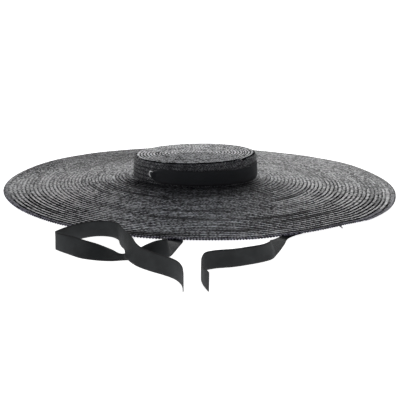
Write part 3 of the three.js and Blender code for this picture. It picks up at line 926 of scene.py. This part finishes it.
def row_tone(n, zone, u):
    """Tone that changes slowly along the plait, so that each row differs from its neighbours."""
    tone = n.spread(n.noise(n.vector(u * 0.01, 0.0), SLOW_NOISE), 0.3, 0.7, -ROW_TONE, ROW_TONE)
    tone = tone * (n.mix(zone.front, 1.0, FRONT_ROW_TONE) * n.mix(zone.wall, *ROW_SHARE))
    streaks = n.noise(n.vector(zone.from_middle * (0.5 * BRIM_ROWS), zone.x * 5.0), SLOW_NOISE)
    streaks = n.spread(streaks, 0.3, 0.7, -0.8, 0.6) * n.spread(zone.from_middle, 0.5, 0.7) * zone.front
    return (tone + (streaks + 1.0)).at_least(0.1)


def painted_light_by_zone(zone):
    """Painted light and shade by zone: the straw is lighter towards the right and left ends, most at the front, and in
    the middle of the front; it is darkest, with a painted shadow, round the front of the crown's foot, and has painted
    shade at the back left.
    """
    right = zone.right * (zone.front * PAINTED_LIGHT_RIGHT[0] + PAINTED_LIGHT_RIGHT[1])
    left = zone.left * (zone.front * PAINTED_LIGHT_LEFT[0] + PAINTED_LIGHT_LEFT[1])
    light = right + left + zone.middle * PAINTED_LIGHT_MIDDLE + BASE_LIGHT
    return light * (1.0 - (zone.foot * FOOT_PAINTED_SHADOW + zone.back))


def straw_material(name, light, depths, widen, gain):
    """Dyed plait. depths is how dark the painted shade in the gaps between rows gets, widen how much wider it is, gain
    how light it is.
    """
    n = Nodes(name)
    u, v = n.lay()
    place = n.place()
    zone = straw_zones(n, v, place)
    height, groove_shade, hue, cell, fibre = weave(n, u, v)
    # the marks in the lay are multiples of ten
    across = v % 10.0
    # body is 1 outside the painted shade along the rows' edges, and 0 inside it
    body = row_outside_painted_shade(n, zone, across, place, depths, widen)

    # the tone differs at random by straw and by crossing, and its brightest cells are partly painted glints
    tone = hue * 0.2 + cell**2.0 * 1.2
    speckle = n.spread(n.noise(place, SPECKLE_NOISE), 0.35, 0.7) ** 2.0
    # on the wall the tone is much darker, painted shade on the crown's side, with a fine speckle
    tone = n.mix(zone.wall, tone, tone * 0.03 + speckle * 0.12)
    tone = tone + (n.noise(place, PATCH_NOISE) - 0.5) * n.mix(zone.wall, *PATCH_SHARE)
    tone = tone + (n.noise(place, FINE_NOISE) - 0.5) * n.mix(zone.wall, *FINE_SHARE)
    # the tone takes the painted shade in the grooves and along the rows' edges, and the painted light and shade by zone
    tone = tone.at_least(0.02) * groove_shade * (body * row_tone(n, zone, u)) * (painted_light_by_zone(zone) * gain)
    # on the rim row the tone rises and falls with each scallop: painted highlights on the scallops
    painted_bead_highlight = abs(n.math("SINE", u * (math.pi / 2)))
    tone = tone * n.mix(zone.not_rim, n.spread(painted_bead_highlight, 0.3, 0.95, 0.0, 1.5), 1.0)

    cooler = [channel * share for channel, share in zip(light, COOL_STRAW)]
    colour = n.blend(tone, DARK_STRAW, n.blend(zone.middle, light, cooler))
    rough = n.spread(cell + fibre * 0.4, 0.0, 1.2, *STRAW_ROUGHNESS)
    shine = n.spread(tone, 0.0, 0.8, 0.02, 1.0) * n.mix(zone.rim, 1.0, 0.45)
    n.shade(
        Base_Color=n.blend(zone.rim, colour, n.blend(tone, RIM_DARK, RIM_LIGHT)),
        Roughness=n.mix(body, GAP_ROUGHNESS, rough),
        Specular_IOR_Level=shine * (n.mix(zone.wall, *SHINE_SHARE) * (1.0 - zone.back * 0.5)),
        Normal=n.bump(height * n.mix(zone.wall, *BUMP_SHARE), *STRAW_BUMP),
    )
    return n.material


def ribbon_material(name, base, edge, sheen, uneven):
    """Grosgrain: ribs across the ribbon, painted darker in their grooves as painted shade, a smooth selvedge, and a
    tone that is a little uneven.
    """
    n = Nodes(name)
    u, v = n.lay()
    rib = n.math("SINE", u * (2 * math.pi / RIB_PITCH)) * 0.5 + 0.5
    warp = n.noise(n.vector(u * 1.1, v * 26.0), SLOW_NOISE)
    selvedge = n.spread(abs(v - 0.5), 0.455, 0.475)
    # the ribs' sine darkens the colour in their grooves: painted shade
    tone = rib * 0.35 + warp * 0.4 + (n.noise(n.place(), CLOTH_NOISE) - 0.5) * uneven
    low, high = ([c * share for c in base] for share in (0.7, 1.5))
    n.shade(
        Base_Color=n.blend(selvedge, n.blend(tone, low, high), edge),
        Roughness=0.72,
        Specular_IOR_Level=0.25,
        Sheen_Weight=sheen,
        Sheen_Roughness=0.5,
        Normal=n.bump(rib + warp * 0.3, *CLOTH_BUMP),
    )
    return n.material


def metal_material():
    n = Nodes("eyelet_metal")
    wear = n.noise(n.place(), METAL_NOISE)
    n.shade(
        Base_Color=n.blend(wear, (0.78, 0.78, 0.79), (0.95, 0.95, 0.96)),
        Metallic=1.0,
        Roughness=n.spread(wear, 0.3, 0.7, 0.3, 0.45),
        Normal=n.bump(wear, *METAL_BUMP),
    )
    return n.material


# Pieces


def eyelet_piece(name, degrees):
    """The rolled ring of an eyelet: its profile turned round the direction out of the wall."""
    centre, out, around, up = wall_frame(math.radians(degrees), EYELET_HEIGHT)
    turn = (np.arange(EYELET_SIDES) * 2 * math.pi / EYELET_SIDES)[:, None]
    circle = np.cos(turn) * around + np.sin(turn) * up
    points = np.concatenate([centre + radius * circle + depth * out for radius, depth in EYELET_PROFILE])
    k = np.arange(EYELET_SIDES)
    following = (k + 1) % EYELET_SIDES
    faces = []
    for row in range(len(EYELET_PROFILE)):
        a, b = row * EYELET_SIDES, (row + 1) % len(EYELET_PROFILE) * EYELET_SIDES
        faces.append(np.stack([a + k, a + following, b + following, b + k], axis=1))
    return new_object(name, mesh_from(name, points, np.concatenate(faces)))


def stray_end():
    """The cut end of one straw that hangs out under the rim."""
    roots, _ = brim_surface(np.array([STRAY_SHARE]), np.array([math.radians(STRAY_ANGLE)]))
    reach_x, reach_y, reach_z = STRAY_REACH
    across = np.array(STRAY_ACROSS)
    points = []
    for share in np.linspace(0, 1, STRAY_SECTIONS):
        run = np.array([reach_x * share, reach_y * share, reach_z * share**STRAY_BEND - STRAY_DROP])
        half = STRAY_HALF_WIDTH * (1 - STRAY_NARROWING * share)
        for side, face in ((-1, -1), (1, -1), (1, 1), (-1, 1)):
            corner = side * half * across + np.array([0, 0, face * STRAY_HALF_THICKNESS])
            points.append(roots[0] + run + corner)
    last = 4 * (STRAY_SECTIONS - 1)
    faces = [[0, 3, 2, 1], [last, last + 1, last + 2, last + 3]]
    for k in range(STRAY_SECTIONS - 1):
        for side in range(4):
            a, b = 4 * k + side, 4 * k + (side + 1) % 4
            faces.append([a, b, b + 4, a + 4])
    # its lay puts it wholly in the painted shade of a row's outer edge, so it is dark all over
    uv = np.tile(np.array([[0.0, 4.0]]), (len(points), 1))
    return new_object("stray_straw", mesh_from("stray_straw", np.array(points), np.array(faces), uv))


def finish_piece(piece, material, node):
    piece.data.materials.append(material)
    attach(piece, "root")
    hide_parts(node)


def dress():
    straw_brim = straw_material("straw_brim", BRIM_STRAW, depths=(0.05, 0.5), widen=0.0, gain=0.88)
    # the crown's straw is a much lighter copy of the brim's: painted light on the tip, while its wall gets painted
    # shade
    straw_crown = straw_material("straw_crown", LIT_CROWN_STRAW, depths=(0.7, 1.0), widen=0.2, gain=2.35)
    band_cloth = ribbon_material("band_cloth", BAND_COLOUR, BAND_SELVEDGE, sheen=0.06, uneven=0.5)
    tie_cloth = ribbon_material("tie_cloth", TIE_COLOUR, TIE_SELVEDGE, sheen=0.02, uneven=2.0)
    metal = metal_material()

    crown_limit = (0.0, crown_row_limit())
    crown = plait_strip(
        "crown_plait", crown_by_rows, CROWN_TURNS, crown_base, crown_limit, CROWN_DEPTH, CROWN_STEP
    )
    brim_limit = (0.0, BRIM_ROWS)
    brim = plait_strip(
        "brim_plait", brim_by_rows, BRIM_TURNS, brim_base, brim_limit, BRIM_DEPTH, BRIM_STEP, splits=2
    )
    for piece in crown:
        finish_piece(piece, straw_crown, "crown")
    for piece in [*brim, stray_end()]:
        finish_piece(piece, straw_brim, "brim")

    band, length = ribbon_mesh("band_grosgrain", *band_edges(), steps=4)
    finish_piece(band, band_cloth, "ribbon_band")

    for side, degrees in (("near", -EYELET_ANGLE), ("far", EYELET_ANGLE)):
        finish_piece(eyelet_piece(f"eyelet_{side}_ring", degrees), metal, f"eyelet_{side}")

    for side, rows, ring in (("left", TIE_LEFT_ROWS, "near"), ("right", TIE_RIGHT_ROWS, "far")):
        tie, length = ribbon_mesh(f"tie_{side}_grosgrain", *tie_edges(rows), steps=10)
        finish_piece(tie, tie_cloth, f"tie_{side}")


# Stage


def stage():
    n = Nodes("floor")
    n.shade(
        Base_Color=n.blend(n.noise(n.place(), FLOOR_NOISE), (0.93, 0.93, 0.935), (0.95, 0.95, 0.955)),
        Roughness=0.9,
        Emission_Color=(1, 1, 1, 1),
        Emission_Strength=FLOOR_GLOW,
    )
    mesh = bpy.data.meshes.new("floor")
    corners = ((-1, -1), (1, -1), (1, 1), (-1, 1))
    points = [(a * FLOOR_HALF_SIZE, b * FLOOR_HALF_SIZE, FLOOR_LEVEL) for a, b in corners]
    mesh.from_pydata(points, [], [(0, 1, 2, 3)])
    floor = new_object("floor", mesh)
    mesh.materials.append(n.material)

    scene = bpy.context.scene
    scene.view_settings.view_transform = "Standard"
    world = bpy.data.worlds.new("world")
    world.use_nodes = True
    back = world.node_tree.nodes["Background"]
    back.inputs[0].default_value = (1.0, 1.0, 1.0, 1)
    back.inputs[1].default_value = WORLD_LIGHT
    scene.world = world

    for name, at, size, power in SOFTBOXES:
        data = bpy.data.lights.new(name, "AREA")
        data.shape = "SQUARE"
        data.size = size
        data.energy = power
        light = new_object(name, data)
        light.location = at
        light.rotation_mode = "QUATERNION"
        light.rotation_quaternion = (-Vector(at)).to_track_quat("-Z", "Y")


place_camera()
dress()
stage()
